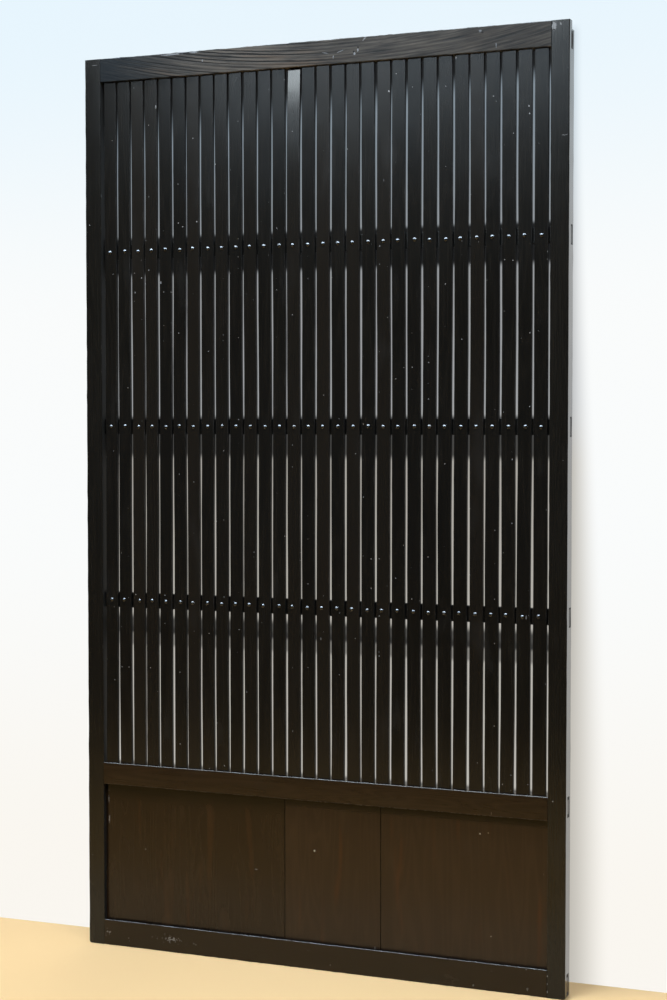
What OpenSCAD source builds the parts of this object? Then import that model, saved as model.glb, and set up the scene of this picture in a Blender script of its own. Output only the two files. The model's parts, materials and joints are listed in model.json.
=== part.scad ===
// Sliding lattice door leaf: two stiles and three rails hold thirty nailed upright slats over three
// cross rails, with a waist panel of three boards below. The front faces -Y and the leaf stands on Z = 0.

/* [Door leaf] */
// Overall width across both stiles
door_w = 985; // [900:1:1200]
// Overall height, tongue included
door_h = 1758; // [1600:1:2100]
// Overall thickness, front to back
door_t = 30; // [29:0.5:40]

/* [Frame] */
// Face width of each stile
stile_w = 34.5; // [28:0.5:60]
// Face height of the top rail, tongue included
top_rail_h = 46; // [46:0.5:90]
// Face height of the middle rail
middle_rail_h = 43.5; // [41:0.5:90]
// Face height of the bottom rail
bottom_rail_h = 51; // [49:0.5:120]
// Chamfer on the long arrises of stiles and rails
frame_arris = 1.2; // [0.4:0.1:3]
// Radius of the outer corner at the foot of each stile
foot_round = 5; // [1:0.5:9]
// Height of the tongue that runs in the head track
tongue_h = 15; // [8:0.5:17]
// Thickness of that tongue, measured from the front face
tongue_t = 15; // [9:0.5:20]

/* [Wedged joints] */
// Thickness of the tenons on the three rails
tenon_t = 14; // [8:0.5:16]
// Distance from the front face to the rail tenons
tenon_recess = 9; // [6:0.5:12]
// Height of the top rail's tenon
top_tenon_h = 20; // [12:0.5:22]
// Shoulder under the top rail's tenon
top_shoulder = 2; // [0.5:0.5:4]
// Height of the middle rail's tenon
middle_tenon_h = 26; // [18:0.5:28]
// Shoulder under the middle rail's tenon
middle_shoulder = 12.5; // [12.5:0.5:14]
// Height of the bottom rail's tenon
bottom_tenon_h = 28; // [18:0.5:31]
// Shoulder under the bottom rail's tenon
bottom_shoulder = 10; // [9:0.5:13]
// Thickness of a rail wedge at the stile's outer edge
rail_wedge_t = 6; // [3:0.5:8]
// Thickness of a cross rail wedge at the stile's outer edge
cross_wedge_t = 3; // [2:0.5:6]

/* [Lattice] */
// Number of upright slats
slat_count = 30; // [16:1:36]
// Face width of a slat
slat_w = 25.5; // [16:0.5:28]
// Thickness of a slat
slat_t = 6.5; // [5:0.25:9]
// Distance from the front face back to the slats
slat_recess = 7; // [4:0.5:9]
// Depth that each slat end enters its rail
slat_tenon = 10; // [6:0.5:14]
// Chamfer on the long arrises of a slat
slat_arris = 0.8; // [0.2:0.1:2]
// Face height of a cross rail
cross_rail_h = 30; // [20:0.5:45]
// Thickness of a cross rail
cross_rail_t = 12; // [10:0.5:15]
// Chamfer on the long arrises of a cross rail
cross_arris = 0.8; // [0.2:0.1:2]
// How far the cross rails sit below an even spacing
cross_drop = 3.5; // [0:0.5:12]

/* [Nails] */
// Diameter of the domed nail head
nail_head_d = 8.5; // [5:0.25:12]
// Height of the dome above the slat
nail_head_h = 2.6; // [1.5:0.1:4]
// Diameter of the nail's shank
nail_shank_d = 2.2; // [1.5:0.1:4]
// Depth that the nail enters the cross rail
nail_bite = 9; // [4:0.5:9.5]

/* [Waist panel] */
// Clear height between the bottom and middle rails
panel_h = 272.5; // [150:0.5:450]
// Thickness of the panel boards
panel_t = 8; // [5:0.5:10]
// Distance from the front face back to the panel
panel_recess = 10; // [6:0.5:15]
// Depth of the groove that holds the panel's edges
panel_groove = 8; // [5:0.5:10]
// Visible width of the left board
left_board_w = 391; // [200:1:450]
// Visible width of the middle board
middle_board_w = 197; // [120:1:300]
// Width of the half lap between two boards
board_lap = 6; // [3:0.5:12]
// Open joint that shows between two boards
board_gap = 0.6; // [0.2:0.1:2]

/* [Hidden] */
// Clearance of tenons, panel edges and nails in their holes
fit = 0.1;
// Room that slats and boards keep at their blind ends
end_room = 1;
// How far every cut runs past the face that it opens
overrun = 2;
// Thickness of a wedge at its tip
wedge_tip_t = 0.8;
// Wood left in the stile between a wedge's tip and the panel groove
wedge_stop = 2;
// Length of a nail's point, and the flat left at its end
nail_point_l = 3;
nail_point_d = 0.5;
$fn = 48;

inner_w = door_w - 2 * stile_w;
middle_rail_z = bottom_rail_h + panel_h;
lattice_z = middle_rail_z + middle_rail_h;
top_rail_z = door_h - top_rail_h;
lattice_h = top_rail_z - lattice_z;
slat_gap = (inner_w - slat_count * slat_w) / (slat_count + 1);
slat_pitch = slat_w + slat_gap;
cross_recess = slat_recess + slat_t;
wedge_l = stile_w - panel_groove - wedge_stop;
dome_r = (pow(nail_head_d / 2, 2) + pow(nail_head_h, 2)) / (2 * nail_head_h);
left_joint_x = -inner_w / 2 + left_board_w;
right_joint_x = left_joint_x + board_gap + middle_board_w;
panel_edge_x = inner_w / 2 + panel_groove - end_room;

// Cross rails from the lowest up, spaced evenly between the rails and then set a little low
CROSS_NAMES = ["lower", "middle", "upper"];
cross_count = len(CROSS_NAMES);
bay_h = (lattice_h - cross_count * cross_rail_h) / (cross_count + 1);
function cross_z(i) = lattice_z + bay_h + i * (bay_h + cross_rail_h) - cross_drop;
function cross_mid_z(i) = cross_z(i) + cross_rail_h / 2;

// Every through tenon: foot, height, distance back from the front, thickness and wedge thickness
RAIL_JOINTS = [
    [bottom_shoulder, bottom_tenon_h, tenon_recess, tenon_t, rail_wedge_t],
    [middle_rail_z + middle_shoulder, middle_tenon_h, tenon_recess, tenon_t, rail_wedge_t],
    [top_rail_z + top_shoulder, top_tenon_h, tenon_recess, tenon_t, rail_wedge_t]
];
CROSS_JOINTS = [
    for (i = [0:cross_count - 1]) [cross_z(i), cross_rail_h, cross_recess, cross_rail_t, cross_wedge_t]
];
JOINTS = concat(RAIL_JOINTS, CROSS_JOINTS);

function slat_name(i) = str("slat_", i < 10 ? "0" : "", i);
function slat_x(i) = -inner_w / 2 + slat_gap + slat_w / 2 + (i - 1) * slat_pitch;
function from_front(depth) = depth - door_t / 2;

FRAME_NODES = ["left_stile", "right_stile", "top_rail", "middle_rail", "bottom_rail"];
CROSS_NODES = [for (name = CROSS_NAMES) str("cross_rail_", name)];
SLAT_NODES = [for (i = [1:slat_count]) slat_name(i)];
NAIL_NODES = [for (name = CROSS_NAMES) str("nails_", name)];
PANEL_NODES = ["panel_board_left", "panel_board_middle", "panel_board_right"];
WEDGE_NODES = ["wedges_left", "wedges_right"];

FRAME_COLOUR = "#2b2826";
WORN_COLOUR = "#5a544d";
SLAT_COLOUR = "#26262a";
PANEL_COLOUR = "#38291c";
IRON_COLOUR = "#17171a";

// Section of a planed bar with its four arrises taken off
module planed_section(wide, deep, arris) {
    polygon([
        [arris, 0], [wide - arris, 0], [wide, arris], [wide, deep - arris],
        [wide - arris, deep], [arris, deep], [0, deep - arris], [0, arris]
    ]);
}

// A section drawn in depth and height, run across the opening from stile to stile
module across(length) {
    translate([-length / 2, from_front(0), 0])
        rotate([90, 0, 90])
            linear_extrude(length) children();
}

// A shape drawn in width and height, given its thickness at a distance back from the front
module set_back(recess, thickness) {
    translate([0, from_front(recess + thickness), 0])
        rotate([90, 0, 0])
            linear_extrude(thickness) children();
}

// Waste outside the rounded corner at the foot of the left stile
module foot_waste() {
    translate([-door_w / 2, 0, 0])
        set_back(-overrun, door_t + 2 * overrun)
            difference() {
                translate([-overrun, -overrun]) square(foot_round + overrun);
                translate([foot_round, foot_round]) circle(foot_round);
            }
}

// Mortise through the left stile, flared outwards above and below for the wedges
module mortise(joint) {
    half = joint[1] / 2 + fit;
    flare = half + joint[4];
    tip = half + wedge_tip_t;
    outer = -door_w / 2;
    translate([outer, 0, joint[0] + joint[1] / 2])
        set_back(joint[2] - fit, joint[3] + 2 * fit)
            polygon([
                [stile_w + overrun, -half], [wedge_l, -half], [wedge_l, -tip], [0, -flare], [-overrun, -flare],
                [-overrun, flare], [0, flare], [wedge_l, tip], [wedge_l, half], [stile_w + overrun, half]
            ]);
}

// The two wedges of one joint in the left stile, above and below its tenon
module wedge_pair(joint) {
    half = joint[1] / 2 + fit;
    translate([-door_w / 2, 0, joint[0] + joint[1] / 2])
        set_back(joint[2], joint[3])
            for (side = [-1, 1])
                polygon([
                    [0, side * half], [wedge_l, side * half],
                    [wedge_l, side * (half + wedge_tip_t)], [0, side * (half + joint[4])]
                ]);
}

module wedges() {
    difference() {
        for (joint = JOINTS)
            wedge_pair(joint);
        foot_waste();
    }
}

// One stile, as it stands on the left
module stile() {
    difference() {
        translate([-door_w / 2, from_front(0), 0])
            linear_extrude(door_h)
                planed_section(stile_w, door_t, frame_arris);
        translate([-door_w / 2 - overrun, from_front(tongue_t), door_h - tongue_h])
            cube([stile_w + 2 * overrun, door_t - tongue_t + overrun, tongue_h + overrun]);
        translate([
            -inner_w / 2 - panel_groove, from_front(panel_recess - fit), bottom_rail_h - panel_groove
        ])
            cube([panel_groove + overrun, panel_t + 2 * fit, panel_h + 2 * panel_groove]);
        for (joint = JOINTS)
            mortise(joint);
        foot_waste();
    }
}

// A tenon that runs the whole width, so that its ends come out flush with the stiles' edges
module through_tenon(joint) {
    translate([-door_w / 2, from_front(joint[2]), joint[0]])
        cube([door_w, joint[3], joint[1]]);
}

// Mortises for the slat ends, from a rail's face upwards or downwards
module slat_mortises(z) {
    for (i = [1:slat_count])
        translate([slat_x(i) - slat_w / 2 - fit, from_front(slat_recess - fit), z])
            cube([slat_w + 2 * fit, slat_t + 2 * fit, slat_tenon + overrun]);
}

// Groove for the panel along a rail
module rail_groove(z) {
    translate([-inner_w / 2 - overrun, from_front(panel_recess - fit), z])
        cube([inner_w + 2 * overrun, panel_t + 2 * fit, panel_groove + overrun]);
}

module left_stile() {
    color(FRAME_COLOUR) stile();
}

module right_stile() {
    color(FRAME_COLOUR) mirror([1, 0, 0]) stile();
}

// The top rail's back is cut down so that only the front tongue reaches into the head track
module top_rail() {
    body_h = top_rail_h - tongue_h;
    color(WORN_COLOUR) difference() {
        union() {
            translate([0, 0, top_rail_z])
                across(inner_w)
                    polygon([
                        [frame_arris, 0], [door_t - frame_arris, 0], [door_t, frame_arris], [door_t, body_h],
                        [tongue_t, body_h], [tongue_t, top_rail_h - frame_arris],
                        [tongue_t - frame_arris, top_rail_h], [frame_arris, top_rail_h],
                        [0, top_rail_h - frame_arris], [0, frame_arris]
                    ]);
            through_tenon(RAIL_JOINTS[2]);
        }
        slat_mortises(top_rail_z - overrun);
    }
}

module middle_rail() {
    color(FRAME_COLOUR) difference() {
        union() {
            translate([0, 0, middle_rail_z])
                across(inner_w)
                    planed_section(door_t, middle_rail_h, frame_arris);
            through_tenon(RAIL_JOINTS[1]);
        }
        slat_mortises(lattice_z - slat_tenon);
        rail_groove(middle_rail_z - overrun);
    }
}

module bottom_rail() {
    color(FRAME_COLOUR) difference() {
        union() {
            across(inner_w)
                planed_section(door_t, bottom_rail_h, frame_arris);
            through_tenon(RAIL_JOINTS[0]);
        }
        rail_groove(bottom_rail_h - panel_groove);
    }
}

// Hole for one nail shank, from a given distance behind the front face
module nail_hole(recess, depth) {
    translate([0, from_front(recess), 0])
        rotate([-90, 0, 0])
            cylinder(d = nail_shank_d + 2 * fit, h = depth);
}

// Cross rail behind the slats, its full section running through both stiles
module cross_rail(i) {
    color(SLAT_COLOUR) difference() {
        union() {
            translate([0, cross_recess, cross_z(i)])
                across(inner_w)
                    planed_section(cross_rail_t, cross_rail_h, cross_arris);
            through_tenon(CROSS_JOINTS[i]);
        }
        for (s = [1:slat_count])
            translate([slat_x(s), 0, cross_mid_z(i)])
                nail_hole(cross_recess - overrun, overrun + nail_bite + fit);
    }
}

// One upright slat, its ends let into the top and middle rails
module slat(i) {
    color(SLAT_COLOUR) difference() {
        translate([slat_x(i) - slat_w / 2, from_front(slat_recess), lattice_z - slat_tenon])
            linear_extrude(lattice_h + 2 * slat_tenon - end_room)
                planed_section(slat_w, slat_t, slat_arris);
        for (c = [0:cross_count - 1])
            translate([slat_x(i), 0, cross_mid_z(c)])
                nail_hole(slat_recess - overrun, slat_t + 2 * overrun);
    }
}

// Forged nail standing on its point, with the underside of its domed head at Z = 0
module nail() {
    shank_l = slat_t + nail_bite - nail_point_l;
    difference() {
        translate([0, 0, nail_head_h - dome_r]) sphere(dome_r);
        translate([-dome_r, -dome_r, -2 * dome_r]) cube(2 * dome_r);
    }
    translate([0, 0, -shank_l]) cylinder(d = nail_shank_d, h = shank_l);
    translate([0, 0, -shank_l - nail_point_l])
        cylinder(d1 = nail_point_d, d2 = nail_shank_d, h = nail_point_l);
}

// The nails along one cross rail, one through the middle of each slat
module nail_row(c) {
    color(IRON_COLOUR)
        for (i = [1:slat_count])
            translate([slat_x(i), from_front(slat_recess), cross_mid_z(c)])
                rotate([90, 0, 0]) nail();
}

// One panel board; a lapped left edge lies over its neighbour and a lapped right edge lies under it
module panel_board(left_x, right_x, lap_left, lap_right) {
    front = from_front(panel_recess);
    middle = front + panel_t / 2;
    back = front + panel_t;
    color(PANEL_COLOUR)
        translate([0, 0, bottom_rail_h - panel_groove])
            linear_extrude(panel_h + 2 * panel_groove - end_room)
                polygon([
                    [left_x, front], [right_x, front], [right_x, middle],
                    [right_x + lap_right, middle], [right_x + lap_right, back],
                    [left_x + lap_left, back], [left_x + lap_left, middle - fit], [left_x, middle - fit]
                ]);
}

module panel_board_left() {
    panel_board(-panel_edge_x, left_joint_x, 0, board_lap);
}

module panel_board_middle() {
    panel_board(left_joint_x + board_gap, right_joint_x, board_lap, board_lap);
}

module panel_board_right() {
    panel_board(right_joint_x + board_gap, panel_edge_x, board_lap, 0);
}

module wedges_left() {
    color(FRAME_COLOUR) wedges();
}

module wedges_right() {
    color(FRAME_COLOUR) mirror([1, 0, 0]) wedges();
}

left_stile();
right_stile();
top_rail();
middle_rail();
bottom_rail();
for (c = [0:cross_count - 1]) cross_rail(c);
for (i = [1:slat_count]) slat(i);
for (c = [0:cross_count - 1]) nail_row(c);
panel_board_left();
panel_board_middle();
panel_board_right();
wedges_left();
wedges_right();
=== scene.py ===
# %% [markdown]
# # A lattice door leaf
#
# This lesson dresses one leaf of an old sliding lattice door. The imported solids give every size and
# place, and Blender gives what a cabinet maker's hands and many years of use gave the real one:
# eased and knocked arrises, slats that wander a little, domed nails, and a dark stain that shines
# like satin. The solids are loaded first. Their box is kept, so that the dressed door can be
# measured against it. Their box is kept, because the dressed door may not outgrow it.

# %% Load the imported door
import json
import math
import random

import bmesh
import bpy
from mathutils import Matrix, Vector

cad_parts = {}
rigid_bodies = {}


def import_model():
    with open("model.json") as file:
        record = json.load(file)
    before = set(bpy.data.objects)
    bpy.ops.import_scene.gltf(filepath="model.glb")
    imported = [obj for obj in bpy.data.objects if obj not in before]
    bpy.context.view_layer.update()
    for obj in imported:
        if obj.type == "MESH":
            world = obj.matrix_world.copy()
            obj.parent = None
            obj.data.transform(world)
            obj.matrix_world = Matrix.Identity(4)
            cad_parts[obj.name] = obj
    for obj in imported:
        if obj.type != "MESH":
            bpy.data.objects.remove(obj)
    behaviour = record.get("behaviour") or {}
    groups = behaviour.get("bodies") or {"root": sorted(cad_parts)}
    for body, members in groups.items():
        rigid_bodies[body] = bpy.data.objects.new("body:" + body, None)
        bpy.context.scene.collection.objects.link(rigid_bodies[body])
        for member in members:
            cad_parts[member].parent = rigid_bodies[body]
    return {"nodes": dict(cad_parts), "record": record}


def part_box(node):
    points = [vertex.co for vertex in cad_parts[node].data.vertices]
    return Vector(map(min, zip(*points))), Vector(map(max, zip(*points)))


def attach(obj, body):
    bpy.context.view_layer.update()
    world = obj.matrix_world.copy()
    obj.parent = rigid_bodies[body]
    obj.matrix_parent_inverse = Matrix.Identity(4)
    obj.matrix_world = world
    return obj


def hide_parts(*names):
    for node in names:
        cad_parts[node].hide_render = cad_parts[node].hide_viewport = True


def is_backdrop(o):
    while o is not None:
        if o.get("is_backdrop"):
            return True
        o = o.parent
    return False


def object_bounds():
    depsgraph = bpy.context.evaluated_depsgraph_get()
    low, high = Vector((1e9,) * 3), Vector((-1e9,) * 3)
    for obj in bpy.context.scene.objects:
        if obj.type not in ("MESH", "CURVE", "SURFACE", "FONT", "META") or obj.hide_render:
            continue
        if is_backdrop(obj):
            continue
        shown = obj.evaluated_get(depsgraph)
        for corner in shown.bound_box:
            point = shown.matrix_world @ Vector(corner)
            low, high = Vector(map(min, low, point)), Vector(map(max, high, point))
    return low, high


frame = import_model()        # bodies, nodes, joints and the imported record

MM = 0.001
X, Y, Z = 0, 1, 2
cad_low, cad_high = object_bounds()
door_size = [round(side / MM, 1) for side in cad_high - cad_low]
print("door of", door_size, "mm from", len(frame["nodes"]), "nodes")

# %% [markdown]
# ## The camera
#
# A door is full of straight lines, so its four corners and the joints of its rails fix the camera
# exactly: where it stood, what it aimed at and how long its lens was. The camera stands to the
# right of the door at chest height and looks slightly down. The view transform is Standard, so that
# a colour renders about as it is written.

# %% Camera
CAMERA_PLACE = Vector((1.3919, -3.2591, 1.0405))
CAMERA_AIM = Vector((0.0327, 0.0, 0.8976))
LENS_MM = 67.29

bpy.ops.object.select_all(action="DESELECT")
bpy.ops.object.camera_add(location=CAMERA_PLACE)
camera = bpy.context.object
camera.name = "door_camera"
camera.rotation_euler = (CAMERA_AIM - CAMERA_PLACE).to_track_quat("-Z", "Y").to_euler()
camera.data.sensor_width = 36
camera.data.lens = LENS_MM
bpy.context.scene.camera = camera
bpy.context.scene.view_settings.view_transform = "Standard"
print("camera", round((CAMERA_AIM - CAMERA_PLACE).length, 2), "m from its aim")

# %% [markdown]
# ## Writing a finish as sums
#
# A finish is a network of nodes. Clicking it together by hand is slow to read back, so it is
# written here as arithmetic: `Wire` holds the output of a node, and a sum, product or power of
# wires adds the Math node for it. `Finish` holds the node tree, and its `node` method makes every
# other node: its type, then its settings, then what goes into its sockets. Colours are mixed with
# Mix nodes, because a Math node would turn them grey.

# %% The wire and the finish
class Wire:
    """One output of a node. Sums with wires become Math nodes."""

    def __init__(self, finish, socket):
        self.finish = finish
        self.socket = socket

    def also(self, output):
        """Another output of the same node."""
        return Wire(self.finish, self.socket.node.outputs[output])

    def maths(self, operation, *values):
        return self.finish.node("ShaderNodeMath", {"operation": operation}, dict(enumerate(values)))

    def __add__(self, other):
        return self.maths("ADD", self, other)

    def __radd__(self, other):
        return self.maths("ADD", other, self)

    def __sub__(self, other):
        return self.maths("SUBTRACT", self, other)

    def __rsub__(self, other):
        return self.maths("SUBTRACT", other, self)

    def __mul__(self, other):
        return self.maths("MULTIPLY", self, other)

    def __rmul__(self, other):
        return self.maths("MULTIPLY", other, self)

    def __truediv__(self, other):
        return self.maths("DIVIDE", self, other)

    def __rpow__(self, other):
        return self.maths("POWER", other, self)

    def __abs__(self):
        return self.maths("ABSOLUTE", self)

    def __floor__(self):
        return self.maths("FLOOR", self)

    def sine(self):
        return self.maths("SINE", self)

    def over(self, other):
        """The larger of the two."""
        return self.maths("MAXIMUM", self, other)


class Finish:
    """A material or world while its nodes are laid."""

    def __init__(self, owner):
        owner.use_nodes = True
        self.owner = owner
        self.tree = owner.node_tree

    def node(self, kind, settings=None, inputs=None, output=0):
        made = self.tree.nodes.new(kind)
        for name, value in (settings or {}).items():
            if name == "stops":
                self.lay_stops(made.color_ramp, value)
            else:
                setattr(made, name, value)
        for name, value in (inputs or {}).items():
            self.feed(made.inputs[name], value)
        return Wire(self, made.outputs[output])

    def lay_stops(self, ramp, stops):
        while len(ramp.elements) < len(stops):
            ramp.elements.new(1.0)
        for element, (place, colour) in zip(ramp.elements, stops):
            element.position = place
            element.color = (*colour, 1.0)

    def feed(self, socket, value):
        if isinstance(value, Wire):
            self.tree.links.new(value.socket, socket)
        elif isinstance(value, tuple) and len(value) == 3 and socket.type == "RGBA":
            socket.default_value = (*value, 1.0)
        else:
            socket.default_value = value

    def wear(self, **sockets):
        """Sets or links the sockets of the surface shader, with _ for each space in a socket's name."""
        shader = self.tree.nodes["Principled BSDF"]
        for name, value in sockets.items():
            self.feed(shader.inputs[name.replace("_", " ")], value)

    def mix(self, share, first, second):
        """From one colour to another."""
        return self.node("ShaderNodeMix", {"data_type": "RGBA"}, {0: share, 6: first, 7: second}, 2)

    def rise(self, value, low, high):
        """0 below low, 1 above high, and a soft step between."""
        inputs = {"Value": value, "From Min": low, "From Max": high}
        return self.node("ShaderNodeMapRange", {"interpolation_type": "SMOOTHSTEP"}, inputs)

    def place(self, scale=(1.0, 1.0, 1.0), start=(0.0, 0.0, 0.0), turn=0.0):
        """Where a point lies on the door, in metres, turned about Y and stretched by scale."""
        point = self.node("ShaderNodeTexCoord", output="Object")
        inputs = {"Vector": point, "Location": start, "Rotation": (0.0, turn, 0.0), "Scale": scale}
        return self.node("ShaderNodeMapping", None, inputs)

    def part(self, axis, point=None):
        """One coordinate of a point: of the place on the door, unless another is given."""
        return self.node("ShaderNodeSeparateXYZ", None, {"Vector": point or self.place()}, axis)

    def noise(self, point, scale, detail=2.0, twist=0.0):
        inputs = {"Vector": point, "Scale": scale, "Detail": detail, "Distortion": twist}
        return self.node("ShaderNodeTexNoise", None, inputs)

    def bump(self, height, strength, deep):
        """A relief that only light sees, as deep as given."""
        inputs = {"Strength": strength, "Distance": deep, "Height": height}
        return self.node("ShaderNodeBump", None, inputs)

    def cover(self, surface):
        """Makes this shader the whole surface, in place of the one that was there."""
        for kind in ("Material Output", "World Output"):
            if kind in self.tree.nodes:
                self.feed(self.tree.nodes[kind].inputs["Surface"], surface)

    def glow(self, share, colour):
        """Makes a share of the surface a light of this colour, and the rest clear."""
        light = self.node("ShaderNodeEmission", None, {"Color": colour, "Strength": 1.0})
        clear = self.node("ShaderNodeBsdfTransparent")
        self.cover(self.node("ShaderNodeMixShader", None, {0: share, 1: clear, 2: light}))


print("sums of wires are ready")

# %% [markdown]
# ## Floor, backdrop and sky
#
# The door stands on a plain warm floor and leans its head towards a pale backdrop, so a little of
# that backdrop shows as a bright line through every slit. The backdrop is a card that only the
# camera and reflections see, and only from its front: it throws no light, a view from behind looks
# straight through it, and its sides and top fade out. Behind the leaf the card is darker, as a
# surface that a door shades would be. The sky is white to the camera. To the door it is dim at eye
# level and bright overhead, because a satin black surface is drawn almost entirely by what it
# reflects. For the same reason the floor is plain and pale to the camera, and to the door it is
# pale at its foot and deepens to tan and brown towards the front: the lower half mirrors it. Behind
# the leaf the sky is brighter to reflections, so that the back has its satin shine as well.

# %% Floor
bpy.ops.object.select_all(action="DESELECT")
bpy.ops.mesh.primitive_plane_add(size=14.0, location=(0.0, -2.0, -0.2 * MM))
bpy.ops.object.transform_apply(location=True)
floor = bpy.context.object
floor.name = "floor"
floor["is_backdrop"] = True

TAN_FROM, TAN_TO = 0.30, 0.80
BROWN_FROM, BROWN_TO = 1.0, 3.4
ground = Finish(bpy.data.materials.new("pale_floor"))
cloudy = ground.noise(ground.place(), 1.4, 3.0)
ahead = ground.part("Y") * -1
plain = ground.mix(cloudy, (0.90, 0.65, 0.35), (0.96, 0.71, 0.40))
mirrored = ground.mix(ground.rise(ahead, TAN_FROM, TAN_TO), plain, (0.88, 0.54, 0.17))
mirrored = ground.mix(ground.rise(ahead, BROWN_FROM, BROWN_TO), mirrored, (0.13, 0.075, 0.018))
looked_at = ground.node("ShaderNodeLightPath", output="Is Camera Ray")
floor_colour = ground.mix(looked_at, mirrored, plain)
ground.wear(Base_Color=floor_colour, Roughness=0.6, Specular_IOR_Level=0.0)
floor.data.materials.append(ground.owner)
print("to the door the floor deepens over", BROWN_TO, "m")

# %% Backdrop
CARD_FOOT = 0.090
CARD_HEAD = 0.024
CARD_TOP = 2.3
CARD_WIDE = 2.4
CARD_YAW = math.radians(0.8)
CROSS_RAILS = ("cross_rail_lower", "cross_rail_middle", "cross_rail_upper")
door_h = cad_high.z

bpy.ops.object.select_all(action="DESELECT")
bpy.ops.mesh.primitive_plane_add(size=1.0)
backdrop = bpy.context.object
backdrop.name = "backdrop"
lean = (CARD_HEAD - CARD_FOOT) / door_h
corners = [(side * CARD_WIDE / 2, up) for up in (0.0, CARD_TOP) for side in (-1, 1)]
for corner, (across, up) in zip(backdrop.data.vertices, corners):
    corner.co = (across, CARD_FOOT + lean * up + across * math.tan(CARD_YAW), up)
backdrop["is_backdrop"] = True
print("backdrop leans", round(math.degrees(math.atan(-lean)), 1), "degrees towards the door's head")

# %% [markdown]
# ## The card's paint
#
# The card is warm near the floor and cool towards its top, and it has a second set of tones for
# what is seen through the slits. How much light gets behind the leaf is kept in `passing`: less
# with height, nearly none under the head rail and behind the middle rail, and little in the shades
# that the cross rails throw. Each of those shades is a band with soft edges, told from the foot of
# its rail.

# %% The card's tones
card = Finish(bpy.data.materials.new("backdrop_card"))
across = card.part("X")
height = across.also("Z")
tint = card.mix(card.rise(height, 0.1, 0.9), (0.955, 0.925, 0.870), (0.955, 0.970, 0.970))
tint = card.mix(card.rise(height, 1.2, 1.9), tint, (0.800, 0.915, 0.990))
hidden = card.mix(card.rise(height, 0.95, 1.10), (0.97, 0.925, 0.835), (0.94, 0.965, 0.985))
hidden = card.mix(card.rise(height, 1.25, 1.65), hidden, (0.72, 0.87, 1.0))
reach = 0.550 - 0.045 * card.rise(height, 0.2, 1.7)
behind = (1 - card.rise(across, 0.458, reach)) * (1 - card.rise(across * -1, 0.455, 0.505))
behind = behind * (1 - card.rise(height, 1.738, 1.764))
tint = card.mix(behind, tint, hidden)
print("card has its tones")

# %% Shades on the card
# rail, then where its shade starts, is full, fades and ends, in mm from the rail's foot, and its depth
RAIL_SHADES = [
    ("cross_rail_upper", -36, -22, 40, 50, 0.99),
    ("cross_rail_middle", -52, -36, 30, 40, 0.86),
    ("cross_rail_lower", -60, -52, -29, -13, 0.87),
    ("cross_rail_lower", -86, -76, -48, -38, 0.55),
]
inner = 1 - card.rise(across, 0.452, 0.466)
under_head = card.rise(height, 1.61 + across * 0.11, 1.68 + across * 0.035)
under_rail = 1 - card.rise(height, 0.352, 0.362)
passing = 0.52 - 0.21 * card.rise(height, 0.3, 1.5)
passing = passing * (1 - 0.985 * inner * under_head)
passing = passing * (1 - 0.85 * inner * under_rail)
for node, start, full, fading, gone, depth in RAIL_SHADES:
    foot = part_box(node)[0].z
    band = card.rise(height, foot + start * MM, foot + full * MM)
    band = band * (1 - card.rise(height, foot + fading * MM, foot + gone * MM))
    passing = passing * (1 - depth * inner * band)
tint = card.mix((1 - passing) * behind, tint, (0.012, 0.0125, 0.013))
print("card has", len(RAIL_SHADES), "rail shades")

# %% Who sees the card
rays = card.node("ShaderNodeLightPath", output="Is Camera Ray")
seen = rays.over(rays.also("Is Glossy Ray")).over(rays.also("Is Transmission Ray"))
from_front = 1 - card.node("ShaderNodeNewGeometry", output="Backfacing")
soft_ends = (1 - card.rise(abs(across), 0.80, 1.18)) * (1 - card.rise(height, 1.94, 2.28))
card.glow(seen * from_front * soft_ends, tint)
backdrop.data.materials.append(card.owner)
print("card painted with", len(card.tree.nodes), "nodes")

# %% Sky
sky = Finish(bpy.data.worlds.new("soft_sky"))
bpy.context.scene.world = sky.owner
upward = sky.part("Z", sky.node("ShaderNodeTexCoord", output="Generated"))
dome = sky.mix(sky.rise(upward, 0.25, 0.85), (0.030, 0.031, 0.034), (0.55, 0.58, 0.62))
rays = sky.node("ShaderNodeLightPath", output="Is Camera Ray")
backwards = sky.rise(upward.also("Y"), 0.05, 0.60) * rays.also("Is Glossy Ray")
dome = sky.mix(backwards * sky.rise(upward, -0.25, 0.35), dome, (0.78, 0.82, 0.86))
white = sky.mix(rays, dome, (1.0, 1.0, 1.0))
sky.cover(sky.node("ShaderNodeBackground", None, {"Color": white, "Strength": 1.0}))
print("sky laid with", len(sky.tree.nodes), "nodes")

# %% [markdown]
# ## Lamps
#
# Area lamps do the work of a window, a strip of ceiling light and a light from behind. The window
# is far out in front and to the left. Under it hangs a blind, a card that only reflections see: the
# upper slats mirror it, and its glow fades downwards and to the left, so the sheen on the slats
# does too. A slat that leans back catches the window itself. The strip hangs close to the door and
# lights the floor at its foot. A wide twin above it gives shine alone: a bright point on every nail
# and a thin line on the upper arrises. The camera sees none of them.

# %% Lamps
def area_lamp(name, place, aim, wide, high, watts, colour, spread=180, shine_only=False):
    bpy.ops.object.select_all(action="DESELECT")
    bpy.ops.object.light_add(type="AREA", location=place)
    lamp = bpy.context.object
    lamp.name = name
    lamp.rotation_euler = (Vector(aim) - Vector(place)).to_track_quat("-Z", "Y").to_euler()
    lamp.data.shape = "RECTANGLE"
    lamp.data.size = wide
    lamp.data.size_y = high
    lamp.data.energy = watts
    lamp.data.color = colour
    lamp.data.spread = math.radians(spread)
    lamp.visible_camera = False
    lamp.visible_diffuse = not shine_only
    return lamp


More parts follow.
